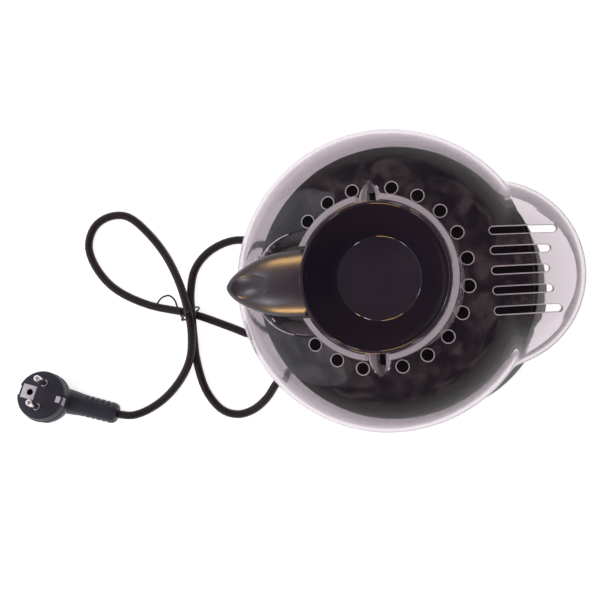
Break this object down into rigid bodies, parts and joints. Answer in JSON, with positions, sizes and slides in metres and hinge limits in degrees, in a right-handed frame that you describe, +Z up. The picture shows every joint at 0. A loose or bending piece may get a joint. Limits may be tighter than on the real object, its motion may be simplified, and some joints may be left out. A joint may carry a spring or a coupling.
{
  "type": "hot-air popcorn popper",
  "caption": "Tapered round popper with a hot-air popping chamber, a lift-off clear cover whose side chute drops the popcorn, and a measuring cup lid with a handle.",
  "frame": {"origin": "on the table, at the middle of the machine's box without its cord, gland and plug", "axes": "+Z up along the body, +X the way the popcorn leaves by the chute, so the cup's handle and the cord point to -X"},
  "size_m": [0.4237, 0.1807, 0.2832],
  "materials": {
    "body_plastic": "satin black moulded plastic",
    "plate_plastic": "black moulded plastic, matte",
    "foot_rubber": "matte black rubber",
    "screw_steel": "zinc-plated steel",
    "clear_plastic": "clear glossy plastic with a faint violet-grey tint",
    "cup_plastic": "high-gloss black plastic",
    "chamber_aluminium": "deep-drawn aluminium, satin",
    "shroud_aluminium": "aluminium sheet",
    "mica": "mica sheet, silvery tan",
    "heater_wire": "oxidised resistance wire",
    "sensor_ceramic": "cream ceramic",
    "fuse_sleeve": "white glass-fibre sleeve",
    "housing_plastic": "heat-proof dark plastic",
    "impeller_plastic": "natural nylon",
    "motor_steel": "zinc-plated steel can",
    "cap_plastic": "black plastic end cap",
    "bearing_bronze": "sintered bronze",
    "ferrite": "dark ferrite magnet",
    "winding_copper": "enamelled copper winding",
    "shaft_steel": "ground steel",
    "board_green": "green circuit board",
    "diode_black": "black epoxy",
    "block_nylon": "white nylon",
    "lead_red": "red-brown heat-proof sleeve",
    "switch_black": "glossy black plastic",
    "rocker_red": "glossy red plastic",
    "gland_rubber": "black flexible plastic",
    "cord_sheath": "satin dark grey-black sheath",
    "tie_wire": "thin coated wire",
    "plug_plastic": "moulded blue-black plastic",
    "plug_brass": "nickel-plated brass"
  },
  "bodies": {
    "base": {"body_shell": "body_plastic", "base_plate": "plate_plastic", "rubber_feet": "foot_rubber", "base_screws": "screw_steel", "popping_chamber": "chamber_aluminium", "chamber_screws": "screw_steel", "heater_shroud": "shroud_aluminium", "mica_cross": "mica", "heater_coil": "heater_wire", "thermostat": "sensor_ceramic", "thermal_fuse": "fuse_sleeve", "fan_housing": "housing_plastic", "housing_screws": "screw_steel", "motor_can": "motor_steel", "motor_end_cap": "cap_plastic", "motor_bearings": "bearing_bronze", "motor_magnets": "ferrite", "motor_screws": "screw_steel", "rectifier_board": "board_green", "rectifier_diodes": "diode_black", "terminal_block": "block_nylon", "internal_leads": "lead_red", "switch_housing": "switch_black", "cord_gland": "gland_rubber", "mains_cord": "cord_sheath", "cord_tie": "tie_wire", "plug_body": "plug_plastic", "plug_pins": "plug_brass", "plug_earth_clips": "plug_brass"},
    "rotor": {"fan_impeller": "impeller_plastic", "armature": "winding_copper", "motor_shaft": "shaft_steel"},
    "rocker": {"switch_rocker": "rocker_red"},
    "cover": {"cover": "clear_plastic"},
    "cup": {"measuring_cup": "cup_plastic"}
  },
  "joints": [
    {"name": "cover_lift", "type": "slide", "parent": "base", "child": "cover", "axis": [0, 0, 1], "range_m": [0, 0.12]},
    {"name": "cup_lift", "type": "slide", "parent": "cover", "child": "cup", "axis": [0, 0, 1], "range_m": [0, 0.06]},
    {"name": "fan_spin", "type": "hinge", "parent": "base", "child": "rotor", "pos_m": [-0.00925, 0, 0.06], "axis": [0, 0, 1], "continuous": true},
    {"name": "switch_rock", "type": "hinge", "parent": "base", "child": "rocker", "pos_m": [-0.00925, -0.08418, 0.042], "axis": [1, 0, 0], "range_deg": [0, 16]}
  ]
}
